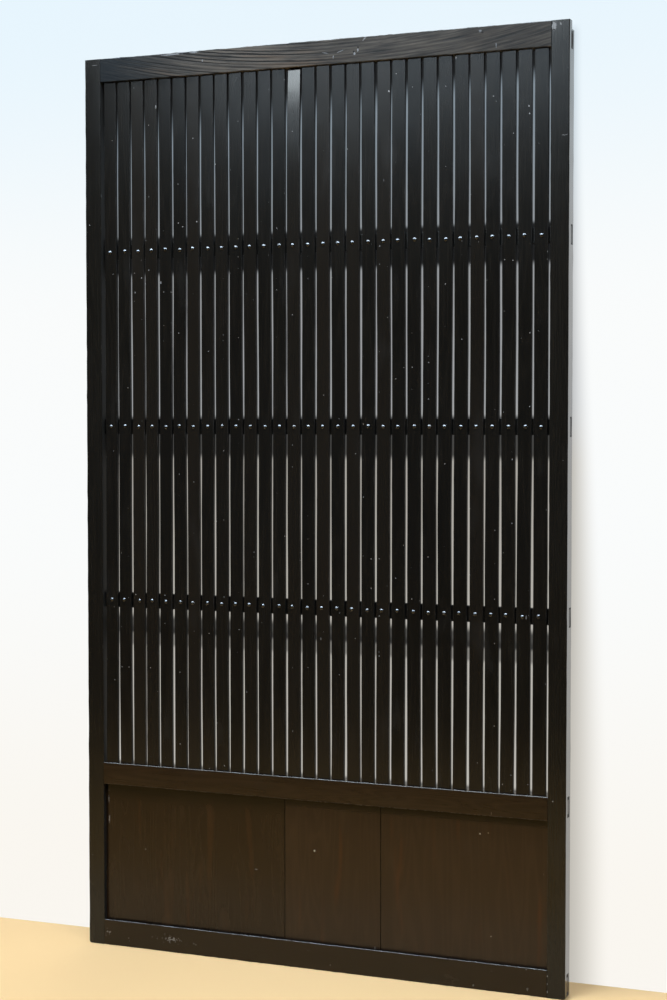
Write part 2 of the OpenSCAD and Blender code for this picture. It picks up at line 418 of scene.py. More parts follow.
COOL = (0.84, 0.94, 1.0)
BLUE = (0.70, 0.87, 1.0)
WARM = (1.0, 0.97, 0.92)
CREAM = (1.0, 0.97, 0.93)
area_lamp("window_lamp", (-1.9, -4.5, 3.52), (-0.1, 0.0, 1.25), 3.4, 1.25, 28.0, COOL, spread=60)
area_lamp("ceiling_lamp", (0.0, -0.60, 2.80), (0.0, -0.55, 0.0), 1.9, 0.25, 13.5, WARM, spread=110)
area_lamp("glint_lamp", (0.0, -0.75, 2.95), (0.0, -0.30, 1.0), 5.0, 0.7, 480.0, BLUE, shine_only=True)
area_lamp("back_lamp", (-1.2, 3.6, 2.4), (0.0, 0.0, 0.9), 2.5, 1.6, 48.0, CREAM)
print("four lamps set")

# %% Blind
BLIND_AWAY = -4.7
BLIND_FOOT, BLIND_HEAD = 1.4, 2.95
BLIND_FULL = 2.54
BLIND_LEFT, BLIND_RIGHT = -4.4, 0.6
BLIND_GLOW = 2.05
GLOW_HALVES_IN = 0.135

bpy.ops.object.select_all(action="DESELECT")
bpy.ops.mesh.primitive_plane_add(size=1.0)
blind = bpy.context.object
blind.name = "blind"
corners = [(side, end) for end in (BLIND_FOOT, BLIND_HEAD) for side in (BLIND_LEFT, BLIND_RIGHT)]
for corner, (side, end) in zip(blind.data.vertices, corners):
    corner.co = (side, BLIND_AWAY, end)
blind.visible_camera = False
blind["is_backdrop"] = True

shine = Finish(bpy.data.materials.new("blind_glow"))
across = shine.part("X")
below = (BLIND_FULL - across.also("Z")) / GLOW_HALVES_IN
halvings = shine.node("ShaderNodeClamp", None, {"Value": below, "Max": 9.0})
glow = BLIND_GLOW * 0.5 ** halvings * (0.15 + 0.85 * shine.rise(across, -3.25, -2.2))
blue_glow = {"Red": glow * 0.72, "Green": glow * 0.87, "Blue": glow}
tint = shine.node("ShaderNodeCombineColor", None, blue_glow)
shine.glow(shine.node("ShaderNodeLightPath", output="Is Glossy Ray"), tint)
blind.data.materials.append(shine.owner)
print("blind's glow halves every", GLOW_HALVES_IN, "m downwards")

# %% [markdown]
# ## The tools of the bench
#
# Every stick of this door starts as a block that is added at its size and place. `pick` selects the
# edges or faces that a rule names, by their place or direction, and the next operator then works on
# those alone, as it does when a hand selects them in edit mode.

# %% Block, pick and edit
def put_down():
    """Leaves edit mode with nothing selected."""
    if bpy.context.mode != "OBJECT":
        bpy.ops.object.mode_set(mode="OBJECT")
    bpy.ops.object.select_all(action="DESELECT")


def take(piece):
    """Makes this the one selected, active piece."""
    put_down()
    piece.select_set(True)
    bpy.context.view_layer.objects.active = piece
    return piece


def block(name, low, high):
    put_down()
    low, high = Vector(low), Vector(high)
    bpy.ops.mesh.primitive_cube_add(size=1.0, location=(low + high) / 2, scale=high - low)
    bpy.ops.object.transform_apply(location=True, rotation=True, scale=True)
    piece = bpy.context.object
    piece.name = name
    piece.data.name = name
    return piece


def pick(piece, kind, rule):
    """Selects what the rule says yes to, of VERT, EDGE or FACE, and nothing else."""
    bpy.ops.mesh.select_mode(type=kind)
    bpy.ops.mesh.select_all(action="DESELECT")
    net = bmesh.from_edit_mesh(piece.data)
    found = [item for item in {"VERT": net.verts, "EDGE": net.edges, "FACE": net.faces}[kind] if rule(item)]
    for item in found:
        item.select_set(True)
    net.select_flush_mode()
    bmesh.update_edit_mesh(piece.data)
    return len(found)


def join(pieces):
    """Makes one piece of several."""
    take(pieces[0])
    for piece in pieces:
        piece.select_set(True)
    if len(pieces) > 1:
        bpy.ops.object.join()
    return bpy.context.object


def runs_along(edge, axis):
    step = edge.verts[1].co - edge.verts[0].co
    return abs(step[axis]) > 0.999 * step.length


print("bench tools ready")

# %% [markdown]
# ## A planed bar
#
# Sawn timber has knife-sharp corners; a maker takes them off with one pass of the plane, and hands
# wear them rounder. The bar bevels its four long edges into three-step arrises, gets a line down
# the middle of each face and then many rings along its length, so that wear has points to move.
# Each point keeps its distance to the nearest arris in an attribute, which the finish reads to rub
# the stain off there. A Bevel modifier alone would look too even.

# %% Planed bar
ARRIS_STEPS = 3


def planed_bar(name, low, high, axis, arris, rings):
    piece = block(name, low, high)
    bpy.ops.object.mode_set(mode="EDIT")
    pick(piece, "EDGE", lambda edge: runs_along(edge, axis))
    bpy.ops.mesh.bevel(offset=arris, segments=ARRIS_STEPS, profile=0.5, affect="EDGES")
    for across in (X, Y, Z):
        if across != axis:
            pick(piece, "EDGE", lambda edge: runs_along(edge, across) and edge.calc_length() > 2 * arris)
            bpy.ops.mesh.subdivide(number_cuts=1)
    pick(piece, "EDGE", lambda edge: runs_along(edge, axis))
    bpy.ops.mesh.subdivide(number_cuts=rings)
    put_down()
    return piece


def arris_distance(point, low, high, axis):
    """How far a point on a bar's skin is from the bar's nearest long edge."""
    depths = [min(point[side] - low[side], high[side] - point[side]) for side in (X, Y, Z) if side != axis]
    return max(max(depths), 0.0)


def note_arrises(piece, low, high, axis):
    """Keeps each point's distance to the nearest arris, in millimetres, for the finish."""
    marks = piece.data.attributes.new("arris", "FLOAT", "POINT")
    away = [arris_distance(point.co, low, high, axis) / MM for point in piece.data.vertices]
    marks.data.foreach_set("value", away)


print("bars are planed with", ARRIS_STEPS, "steps to an arris")

# %% [markdown]
# ## Wear that moves the wood
#
# Knocks and dents are real changes of shape, so they are made with Displace modifiers that are then
# applied. A Clouds texture with strong contrast is black in most places and white in a few, which
# gives separate chips rather than an even wobble. A weight group keeps the chips on the arrises. A
# guide, an empty that is stretched along the grain, makes the same clouds long and narrow.

# %% Chips, dents and wander
def clouds(name, size, contrast=1.0, brightness=1.0):
    texture = bpy.data.textures.new(name, "CLOUDS")
    texture.noise_scale = size
    texture.noise_depth = 2
    texture.contrast = contrast
    texture.intensity = brightness
    return texture


def push(piece, texture, depth, middle=0.0, direction="NORMAL", group="", guide=None):
    take(piece)
    relief = piece.modifiers.new("relief", "DISPLACE")
    relief.texture = texture
    relief.strength = depth
    relief.mid_level = middle
    relief.direction = direction
    relief.vertex_group = group
    relief.texture_coords = "OBJECT" if guide else "LOCAL"
    relief.texture_coords_object = guide
    bpy.ops.object.modifier_apply(modifier=relief.name)


def weigh_arrises(piece, low, high, axis, reach):
    """A weight group that is 1 on the arrises and 0 beyond reach."""
    group = piece.vertex_groups.new(name="arrises")
    for point in piece.data.vertices:
        weight = 1 - arris_distance(point.co, low, high, axis) / reach
        if weight > 0:
            group.add([point.index], weight, "REPLACE")
    return group.name


chips = clouds("chips", 5 * MM, 4.5, 0.58)
rubs = clouds("rubs", 60 * MM, 1.6, 0.95)
print("clouds made:", [texture.name for texture in bpy.data.textures])

# %% [markdown]
# ## Cutting and dressing
#
# A joint is cut by taking one shape out of another. A Boolean leaves faces with many corners around
# a cut, and programs fill such faces in different ways, so they are split into triangles. A
# finished piece is then shaded, gets its material, and is told which body it rides on, and the
# solids it stands in for are hidden.

# %% Cutting one piece out of another
def cut_away(piece, cutters):
    """Takes the cutters' shapes out of the piece."""
    cutter = join(cutters)
    take(piece)
    cut = piece.modifiers.new("cut", "BOOLEAN")
    cut.operation = "DIFFERENCE"
    cut.solver = "EXACT"
    cut.object = cutter
    bpy.ops.object.modifier_apply(modifier=cut.name)
    bpy.data.objects.remove(cutter)


def split_wide_faces(piece):
    """Splits faces of more than four corners, and their neighbours, into triangles."""
    take(piece)
    bpy.ops.object.mode_set(mode="EDIT")
    if pick(piece, "FACE", lambda face: len(face.verts) > 4):
        bpy.ops.mesh.select_more()
        bpy.ops.mesh.quads_convert_to_tris(quad_method="BEAUTY", ngon_method="BEAUTY")
    put_down()


print("cutting tools ready")

# %% Dressing a piece
SMOOTH_BELOW = math.radians(40)


def dress(piece, finish, slot, *nodes):
    """Shades a piece so that flats stay flat, and gives it its material and its place in the door."""
    split_wide_faces(piece)
    take(piece)
    bpy.ops.object.shade_smooth_by_angle(angle=SMOOTH_BELOW)
    even = piece.modifiers.new("even", "WEIGHTED_NORMAL")
    even.keep_sharp = True
    bpy.ops.object.modifier_apply(modifier=even.name)
    piece.data.materials.clear()
    piece.data.materials.append(finish)
    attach(piece, "root")
    if nodes:
        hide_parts(*nodes)
    print(piece.name, "has", len(piece.data.polygons), "faces")
    return piece


print("pieces are smooth below", round(math.degrees(SMOOTH_BELOW)), "degrees")

# %% [markdown]
# ## Dark stained wood
#
# The frame, slats and panel are softwood under a dark stain, rubbed to a satin shine. Up close that
# is five things: growth lines that run along the stick, fine fibres between them, a broad drift of
# tone, pale wear where hands and knocks took the stain off the arrises, and small specks, scratches
# and dusty scuffs. A painted texture would stretch on long sticks; noise on the door's own
# coordinates, squeezed along the grain, stays at one scale everywhere. Growth lines are the contour
# lines of a broad noise: its sine, many times over.

# %% Marks that every old surface has
NEVER_ZERO = 0.0001


def dots_in(finish, cell, radius, share):
    """A dot of its own size in a share of the cells."""
    chance = finish.node("ShaderNodeSeparateColor", None, {"Color": cell.also("Color")}, "Red")
    size = radius * finish.rise(chance, 1 - share, 1.0)
    return 1 - finish.rise(cell / (size + NEVER_ZERO), 0.5, 1.0)


def dashes(finish, scale, radius, share, stretch, turn):
    """Short scratches: dots in a share of the cells, on a place that is stretched and turned."""
    inputs = {"Vector": finish.place(stretch, turn=turn), "Scale": scale}
    cell = finish.node("ShaderNodeTexVoronoi", None, inputs, "Distance")
    return dots_in(finish, cell, radius, share)


def specks(finish, scale, radius, share):
    """Small dots on the front and back, the same at every depth."""
    across = finish.part("X")
    flat = finish.node("ShaderNodeCombineXYZ", None, {"X": across, "Y": across.also("Z")})
    inputs = {"Vector": flat, "Scale": scale}
    cell = finish.node("ShaderNodeTexVoronoi", {"voronoi_dimensions": "2D"}, inputs, "Distance")
    return dots_in(finish, cell, radius, share)


print("dots, dashes and specks are ready")


# %% Marks that are put where they belong
THROUGH = 1000.0


def scars(finish, places, broken=1.6, cover=0.5, grain=520.0):
    """Rubbed spots on the face: x, z, half length, half width in mm, lean in degrees and strength."""
    found = 0.0
    ragged = finish.noise(finish.place(), grain, 2.0)
    for x, z, long, wide, lean, strength in places:
        point = finish.node("ShaderNodeTexCoord", output="Object")
        placing = {
            "Vector": point,
            "Location": (x * MM, 0.0, z * MM),
            "Rotation": (0.0, math.radians(-lean), 0.0),
            "Scale": (long * MM, THROUGH, wide * MM),
        }
        point = finish.node("ShaderNodeMapping", {"vector_type": "TEXTURE"}, placing)
        reach = finish.node("ShaderNodeVectorMath", {"operation": "LENGTH"}, {0: point}, "Value")
        spot = 1 - finish.rise(reach * 0.8 + (ragged - cover) * broken, 0.45, 0.75)
        found = (spot * strength).over(found)
    return found


def grain_place(finish, along, squeeze, start=(0.0, 0.0, 0.0)):
    """The place, squeezed along the grain, so that noise on it is drawn out."""
    scale = [1.0, 1.0, 1.0]
    scale[along] = 1.0 / squeeze
    return finish.place(tuple(scale), start)


print("scars are ready")


# %% The stained wood
def stained_wood(
    name,
    along,  # the axis of the grain
    ground,  # the stain's darker tone
    figure,  # and its paler one
    bare,  # the tone where it is rubbed off
    rub=0.4,  # how much is rubbed off on the arrises
    streak=None,  # a third tone, in long bands
    sticks=None,  # where the first stick starts, their pitch, and a tone that some of them have more of
    marks=(),  # scars, and how they are drawn
    broken=1.6,
    cover=0.5,
    mark_grain=520.0,
    speckled=0.006,  # the share of cells with a speck
    dust=0.25,
    lines=16.0,  # growth lines: how many, and how much they count beside the fibres
    line_share=0.5,
    relief=0.06,
    gloss=0.13,  # roughness of the sound finish, and what is added on arrises and on sawn edges
    dulled=0.0,
    sawn=0.0,
    polish=0.0,  # a coat on the outer edges, which hands have polished
    seam=0.0,  # dark lines at the arrises
    shaded=None,  # heights between which a shade above sets in
    # painted shade on the top face behind the front arris
    ledge_shade=False,  # dark on top, behind the front arris
    start=(0.0, 0.0, 0.0),
):
    finish = Finish(bpy.data.materials.new(name))
    height = finish.part("Z")
    facing = finish.part("X", finish.node("ShaderNodeNewGeometry", output="Normal"))
    sideways = abs(facing)

    # grain
    broad = finish.noise(grain_place(finish, along, 11.0, start), 26.0, 1.0, 0.3)
    growth = (broad * (lines * 2 * math.pi)).sine() * 0.5 + 0.5
    growth = growth * growth
    fibre = finish.noise(grain_place(finish, along, 55.0, start), 760.0, 3.0)
    drift = finish.noise(grain_place(finish, along, 5.0, start), 9.0, 2.0)
    grain = growth * line_share + fibre * (1 - line_share) + (drift - 0.5) * 0.8
    colour = finish.mix(finish.rise(grain, 0.15, 1.0), ground, figure)
    if streak:
        band = finish.noise(grain_place(finish, along, 9.0, (3.1, 0.4, 1.7)), 42.0, 2.0)
        colour = finish.mix(finish.rise(band, 0.58, 0.76) * 0.8, colour, streak)
    if sticks:
        first, pitch, second = sticks
        number = math.floor((height.also("X") - first) / pitch)
        tone = finish.node("ShaderNodeTexWhiteNoise", {"noise_dimensions": "1D"}, {"W": number})
        colour = finish.mix(finish.rise(tone, 0.45, 1.0) * 0.8, colour, second)

    # wear
    edge = finish.node("ShaderNodeAttribute", {"attribute_name": "arris"}, None, "Fac")
    patch = finish.noise(finish.place(start=start), 30.0, 3.0)
    grit = finish.noise(finish.place(start=start), 190.0, 2.0)
    close = 1 - finish.rise(edge, 0.3, 2.2)
    worn = finish.rise(close * 0.60 + patch * 0.62 + grit * 0.40 - 0.5, 0.58, 0.74) * rub
    if marks:
        worn = scars(finish, marks, broken, cover, mark_grain).over(worn)
    scuff = finish.rise(finish.noise(grain_place(finish, along, 3.0, start), 17.0, 4.0), 0.58, 0.82)
    dash = dashes(finish, 44.0, 0.075, 0.20, (1.0, 1.0, 0.34), 0.5)
    dash = dash.over(dashes(finish, 37.0, 0.06, 0.16, (0.3, 1.0, 1.0), 0.35))
    dots = specks(finish, 62.0, 0.075, speckled)
    colour = finish.mix(scuff * dust, colour, tuple(0.40 * part for part in bare))
    colour = finish.mix(dash * 0.35, colour, bare)
    colour = finish.mix(worn, colour, bare)
    colour = finish.mix(dots * 0.8, colour, (0.32, 0.33, 0.35))

    # dark lines and shades
    if seam:
        colour = finish.mix((1 - finish.rise(edge, 0.4, 1.6)) * seam, colour, (0.0015, 0.0012, 0.001))
    if shaded:
        colour = finish.mix(finish.rise(height, *shaded) * 0.93, colour, (0.0010, 0.0008, 0.0006))
    # painted shade: the upward face behind the front arris, which the panel above shades, is darkened
    if ledge_shade:
        upward = finish.rise(facing.also("Z"), 0.9, 0.98)
        upward = upward * finish.rise(height.also("Y"), cad_low.y + 1.5 * MM, cad_low.y + 3.0 * MM)
        colour = finish.mix(upward * 0.9, colour, (0.0012, 0.0010, 0.0008))

    # shine and relief
    rough = gloss + (fibre - 0.5) * 0.06 + (drift - 0.5) * 0.04 + scuff * dust * 0.4
    rough = rough + worn * 0.30 + dots * 0.3 + dash * 0.15
    rough = rough + close * finish.rise(patch * 0.4 + grit * 0.6, 0.47, 0.55) * dulled
    if sawn:
        rough = rough + finish.rise(sideways, 0.5, 0.9) * sawn
    if polish:
        outside = finish.rise(abs(height.also("X")), cad_high.x - 12 * MM, cad_high.x - 8 * MM)
        flank = finish.rise(sideways, 0.8, 0.95)
        rough = rough + flank * (1 - outside) * 0.38
        finish.wear(Coat_Weight=flank * outside * polish, Coat_Roughness=0.12)
    hills = fibre * 0.55 + growth * 0.35 + patch * 0.25 - dash * 0.5 - worn * grit * 0.8
    bump = finish.bump(hills, relief, 0.5 * MM)
    finish.wear(Base_Color=colour, Roughness=rough, Normal=bump, IOR=1.38)
    print(name, "has", len(finish.tree.nodes), "nodes")
    return finish.owner


# %% Wood of the frame
BARE_WOOD = (0.115, 0.105, 0.092)
PALE_WEAR = (0.36, 0.38, 0.42)
STILE_MARKS = [
    (463.7, 1748.0, 5.0, 8.0, 0, 0.42),
    (476.0, 1750.5, 2.0, 3.0, 0, 0.3),
    (-470.0, 1746.5, 9.0, 0.8, 3, 0.28),
    (484.0, 1554.5, 6.0, 0.8, 4, 0.4),
    (459.2, 40.0, 1.0, 2.6, 0, 0.6),
    (459.0, 26.0, 0.9, 2.0, 0, 0.5),
    (459.2, 12.0, 1.0, 2.4, 0, 0.6),
]
RAIL_MARKS = [
    (-309.0, 26.0, 26.0, 8.0, 0, 1.0),
    (-447.0, 27.0, 11.0, 7.0, 0, 0.8),
    (-401.0, 13.5, 6.0, 4.0, 0, 0.9),
    (-257.0, 19.6, 5.0, 4.0, 0, 0.9),
    (318.0, 7.4, 5.0, 3.0, 0, 0.9),
    (421.0, 12.5, 3.5, 3.0, 0, 0.9),
    (354.0, 37.0, 3.0, 2.8, 0, 0.9),
    (-17.6, 37.0, 3.0, 3.0, 0, 0.9),
]
frame_upright = stained_wood(
    "frame_wood_upright",
    Z,
    (0.0072, 0.0068, 0.0060),
    (0.0128, 0.0119, 0.0102),
    PALE_WEAR,
    rub=0.12,
    marks=STILE_MARKS,
    line_share=0.12,
    relief=0.02,
    dust=0.03,
    polish=0.78,
)
middle_wood = stained_wood(
    "frame_wood_middle",
    X,
    (0.0135, 0.0076, 0.0042),
    (0.0225, 0.0130, 0.0072),
    BARE_WOOD,
    rub=0.5,
    dulled=0.4,
    line_share=0.35,
    gloss=0.18,
    relief=0.04,
    dust=0.10,
)
bottom_wood = stained_wood(
    "frame_wood_bottom",
    X,
    (0.0090, 0.0048, 0.0020),
    (0.0150, 0.0080, 0.0036),
    (0.16, 0.155, 0.15),
    rub=0.7,
    marks=RAIL_MARKS,
    broken=5.0,
    cover=0.37,
    mark_grain=250.0,
    dulled=0.5,
    line_share=0.35,
    gloss=0.18,
    relief=0.04,
    dust=0.05,
    # painted shade on the rail's top face behind its front arris
    ledge_shade=True,
)
# painted shade: the cross rails' stain is darker than the frame's, for the shade behind the slats
shaded_cross_wood = stained_wood(
    "cross_rail_wood",
    X,
    (0.0030, 0.0026, 0.0021),
    (0.0075, 0.0060, 0.0044),
    BARE_WOOD,
    rub=0.2,
    gloss=0.34,
)

# %% [markdown]
# ## The stiles
#
# The two upright posts carry the whole leaf. Each has a tongue at the head for the track, a groove
# for the panel and six holes that run right through for the tenons, flared outwards so that wedges
# can lock each tenon. Those cuts are made as a joiner makes them, by taking a shape away, with a
# Boolean for each set of cutters.

# %% Sizes of the joints
TONGUE_HIGH = 15 * MM
TENON_BACK = 9 * MM
TENON_THICK = 14 * MM
GROOVE_DEEP = 8 * MM
PANEL_BACK = 10 * MM
PANEL_THICK = 8 * MM
OVERRUN = 2 * MM
RAIL_WEDGE = 6 * MM
CROSS_WEDGE = 3 * MM
WEDGE_LONG = 24.5 * MM
FRAME_ARRIS = 1.6 * MM

tongue_thick = 2 * (frame["record"]["mounts"][0]["pos_m"][1] - cad_low.y)
left_low, left_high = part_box("left_stile")
right_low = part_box("right_stile")[0]
middle_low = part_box("middle_rail")[0]
top_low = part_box("top_rail")[0]
bottom_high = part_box("bottom_rail")[1]
front = cad_low.y
stile_wide = left_high.x - left_low.x
tenons = {
    "bottom_rail": (10 * MM, 38 * MM),
    "middle_rail": (middle_low.z + 12.5 * MM, middle_low.z + 38.5 * MM),
    "top_rail": (top_low.z + 2 * MM, top_low.z + 22 * MM),
}
print("tongue", round(tongue_thick / MM, 1), "mm thick; stiles", round(stile_wide / MM, 1), "mm wide")


# %% Mortise cutter
def mortise(side, low_y, high_y, low_z, high_z, wedge):
    """A hole through a stile, flared above and below for the wedges at its outer end."""
    outer = side * cad_high.x
    ends = sorted((outer + side * OVERRUN, outer - side * (stile_wide + OVERRUN)))
    hole = block("hole", (ends[0], low_y, low_z), (ends[1], high_y, high_z))
    bpy.ops.object.mode_set(mode="EDIT")
    bpy.ops.mesh.select_all(action="SELECT")
    bpy.ops.mesh.bisect(plane_co=(outer - side * WEDGE_LONG, 0, 0), plane_no=(1, 0, 0))
    pick(hole, "FACE", lambda face: face.normal.x * side > 0.9)
    flare = 1 + 2 * wedge * (1 + OVERRUN / WEDGE_LONG) / (high_z - low_z)
    middle = (outer, (low_y + high_y) / 2, (low_z + high_z) / 2)
    bpy.ops.transform.resize(value=(1, 1, flare), center_override=middle)
    put_down()
    return hole


flares = [round(flare / MM, 1) for flare in (RAIL_WEDGE, CROSS_WEDGE)]
print("mortises flare by", flares, "mm at rails and cross rails")

# %% Foot cutter
FOOT_ROUND = {-1: 6 * MM, 1: 3.5 * MM}
FOOT_BAR_LONG = 100 * MM


def foot_waste(side):
    """What a worn, rounded corner has lost at the outer foot of a stile."""
    radius = FOOT_ROUND[side]
    outer = side * cad_high.x
    ends = sorted((outer + side * OVERRUN, outer - side * radius))
    waste_low = (ends[0], cad_low.y - OVERRUN, -OVERRUN)
    waste_high = (ends[1], cad_high.y + OVERRUN, radius)
    waste = block("waste", waste_low, waste_high)
    put_down()
    bpy.ops.mesh.primitive_cylinder_add(
        vertices=48,
        radius=radius,
        depth=FOOT_BAR_LONG,
        location=(outer - side * radius, 0.0, radius),
        rotation=(math.radians(90), 0.0, 0.0),
    )
    bpy.ops.object.transform_apply(location=True, rotation=True)
    cut_away(waste, [bpy.context.object])
    return waste


print("feet are rounded by", [round(radius / MM, 1) for radius in FOOT_ROUND.values()], "mm")

# %% Stiles
FRAME_RINGS = 420
CHIP_REACH = 3 * MM
STILE_CHIPS = 0.4 * MM


def stile(name, node, side):
    low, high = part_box(node)
    bar = planed_bar(name, low, high, Z, FRAME_ARRIS, FRAME_RINGS)
    push(bar, chips, -STILE_CHIPS, group=weigh_arrises(bar, low, high, Z, CHIP_REACH))
    inner = side * (cad_high.x - stile_wide)
    past = sorted((side * (cad_high.x + OVERRUN), inner - side * OVERRUN))
    rebate_low = (past[0], front + tongue_thick, high.z - TONGUE_HIGH)
    rebate = block("rebate", rebate_low, (past[1], high.y + OVERRUN, high.z + OVERRUN))
    deep = sorted((inner + side * GROOVE_DEEP, inner - side * OVERRUN))
    groove_y = front + PANEL_BACK
    groove_low = (deep[0], groove_y, bottom_high.z - GROOVE_DEEP)
    groove_high = (deep[1], groove_y + PANEL_THICK, middle_low.z + GROOVE_DEEP)
    cut_away(bar, [rebate, block("groove", groove_low, groove_high)])
    tenon_y = front + TENON_BACK
    holes = [mortise(side, tenon_y, tenon_y + TENON_THICK, *span, RAIL_WEDGE) for span in tenons.values()]
    for rail in CROSS_RAILS:
        rail_low, rail_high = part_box(rail)
        holes.append(mortise(side, rail_low.y, rail_high.y, rail_low.z, rail_high.z, CROSS_WEDGE))
    cut_away(bar, holes)
    cut_away(bar, [foot_waste(side)])
    note_arrises(bar, low, high, Z)
    return dress(bar, frame_upright, "frame_wood", node)


stile("stile_left", "left_stile", -1)
stile("stile_right", "right_stile", 1)

# %% [markdown]
# ## The rails
#
# Three rails tie the stiles together. The top one is the most weathered piece of the door: its
# stain has gone grey, and the soft wood between its growth lines has worn away into a fine relief.
# Its tongue is made by cutting the back down. The middle and bottom rails hold the panel in
# grooves. A rail's body is a planed bar. Its tenons grow out of its end faces: the face is extruded
# in place, shrunk to the tenon's section, which leaves the shoulder behind, and extruded on through
# the stile.

# %% Tenons
TENON_SHORT = 0.35 * MM


def grow_tenons(piece, low, high, span):
    """Extrudes both end faces of a rail's body into tenons that come out at the stiles' edges."""
    size = Vector((0, TENON_THICK / (high.y - low.y), (span[1] - span[0]) / (high.z - low.z)))
    centre = Vector((0, front + TENON_BACK + TENON_THICK / 2, sum(span) / 2))
    take(piece)
    bpy.ops.object.mode_set(mode="EDIT")
    for side, end in ((-1, low.x), (1, high.x)):
        middle = Vector((end, (low.y + high.y) / 2, (low.z + high.z) / 2))

        def at_end(face):
            return face.normal.x * side > 0.99 and abs(face.calc_center_median().x - end) < MM

        pick(piece, "FACE", at_end)
        bpy.ops.mesh.extrude_region_move(TRANSFORM_OT_translate={"value": (0, 0, 0)})
        bpy.ops.transform.resize(value=(1, size.y, size.z), center_override=middle)
        bpy.ops.transform.translate(value=(0, centre.y - middle.y, centre.z - middle.z))
        reach = side * (stile_wide - TENON_SHORT)
        bpy.ops.mesh.extrude_region_move(TRANSFORM_OT_translate={"value": (reach, 0, 0)})
    put_down()


def rail_body(name, node, chip_depth):
    """A rail between the stiles, planed and chipped, with its tenons."""
    low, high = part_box(node)
    low.x, high.x = left_high.x, right_low.x
    bar = planed_bar(name, low, high, X, FRAME_ARRIS, FRAME_RINGS)
    push(bar, chips, -chip_depth, group=weigh_arrises(bar, low, high, X, CHIP_REACH))
    grow_tenons(bar, low, high, tenons[node])
    return bar, low, high


def slat_holes(low_z, high_z):
    """Cutters for the holes that the slats' ends sit in."""
    cutters = []
    for node in SLATS:
        low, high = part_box(node)
        cutters.append(block("slat_hole", (low.x, low.y, low_z), (high.x, high.y, high_z)))
    return cutters


def panel_groove(low_z, high_z):
    """A cutter for the groove that a rail holds the panel in."""
    low = (left_high.x - OVERRUN, front + PANEL_BACK, low_z)
    high = (right_low.x + OVERRUN, front + PANEL_BACK + PANEL_THICK, high_z)
    return block("groove", low, high)


SLATS = sorted(node for node in frame["nodes"] if node.startswith("slat_"))
print(len(SLATS), "slats to seat")

# %% [markdown]
# ## Weathered head wood
#
# The head rail was sawn beside the heart of the tree, so its growth lines are not straight: they
# sweep down from the left, pass low in the middle and rise again to the right. A parabola added to
# the height bends straight lines into that sweep, and a little noise keeps them from being drawn
# with a ruler. The lines are darkest left of the middle, the left end is nearly black, and the
# upper arris is knocked and rubbed pale. That pale is bluish, and on the upper arris it is both
# wear and a painted highlight of the worn facets.

# %% Weathered head wood
LINE_EVERY = 6.4 * MM
SWEEP_MIDDLE = 0.044
SWEEP = 0.27


def weathered_wood(name, marks, dents):
    finish = Finish(bpy.data.materials.new(name))
    place = finish.part("X")
    aside = place - SWEEP_MIDDLE
    across = place.also("Z") + place.also("Y") * 0.6 - aside * aside * SWEEP

    def swept(squeeze, ahead=0.0):
        """The place, squeezed along the grain, with the sweep in it."""
        return finish.node("ShaderNodeCombineXYZ", None, {"X": place / squeeze + ahead, "Z": across})

    sway = finish.noise(swept(7.0), 20.0, 1.0, 0.3)
    each = finish.noise(swept(60.0, 5.0), 130.0, 1.0)
    fibre = finish.noise(swept(40.0), 700.0, 4.0)
    streaks = finish.noise(swept(22.0, 3.0), 260.0, 3.0)
    phase = across * (2 * math.pi / LINE_EVERY) + sway * 8.0 + streaks * 2.0
    line = finish.rise(phase.sine() * 0.5 + 0.5, 0.35, 0.90) * finish.rise(each, 0.36, 0.56)
    bleached = 0.84 * finish.rise(place, -0.45, -0.14) - 0.35 * finish.rise(place, -0.12, 0.05)
    bleached = bleached - 0.10 * finish.rise(place, 0.22, 0.36)
    lined = finish.rise(place, -0.44, -0.30) * (1 - 0.80 * finish.rise(place, -0.05, 0.10))
    blotch = finish.noise(swept(3.0, 1.0), 75.0, 3.0)
    uneven = (streaks - 0.5) * 2.6 + (fibre - 0.5) * 1.4 + (blotch - 0.5) * 0.9
    weather = finish.node("ShaderNodeClamp", None, {"Value": bleached + uneven * (0.20 + bleached * 0.9)})
    colour = finish.mix(weather, (0.0080, 0.0112, 0.0155), (0.106, 0.099, 0.092))
    colour = finish.mix(line * (0.16 + 0.80 * lined), colour, (0.0060, 0.0060, 0.0064))
    warm = finish.rise(finish.noise(swept(8.0, 2.0), 60.0, 2.0), 0.50, 0.70)
    colour = finish.mix(warm * lined * 0.45 * (1 - line), colour, (0.130, 0.092, 0.066))
    edge = finish.node("ShaderNodeAttribute", {"attribute_name": "arris"}, None, "Fac")
    upper = finish.rise(place.also("Z"), 1.735, 1.752)
    patch = finish.noise(finish.place(), 26.0, 3.0)
    grit = finish.noise(finish.place(), 200.0, 2.0)
    close = (1 - finish.rise(edge, 0.4, 3.2)) * upper
    worn = finish.rise(close * 0.62 + patch * 0.62 + grit * 0.40 - 0.5, 0.58, 0.72)
    worn = scars(finish, marks).over(worn)
    dent = scars(finish, dents, 1.0)
    dash = dashes(finish, 40.0, 0.10, 0.24, (0.30, 1.0, 1.0), -0.35)
    dash = dash.over(dashes(finish, 34.0, 0.09, 0.22, (0.25, 1.0, 1.0), 0.25))
    # pale bluish paint on the upper arris and its marks: wear, and also a painted highlight of the worn
    # facets
    colour = finish.mix(worn * 0.85, colour, (0.27, 0.30, 0.35))
    colour = finish.mix(dash * 0.45, colour, (0.20, 0.20, 0.20))
    colour = finish.mix(dent, colour, (0.0020, 0.0020, 0.0020))
    rough = 0.42 + (fibre - 0.5) * 0.25 + worn * 0.15
    hills = fibre * 0.8 - line * (0.2 + 0.6 * lined) + patch * 0.2 - dash * 0.5 - dent
    finish.wear(Base_Color=colour, Roughness=rough, Normal=finish.bump(hills, 0.35, 0.5 * MM), IOR=1.14)
    print(name, "has", len(finish.tree.nodes), "nodes")
    return finish.owner
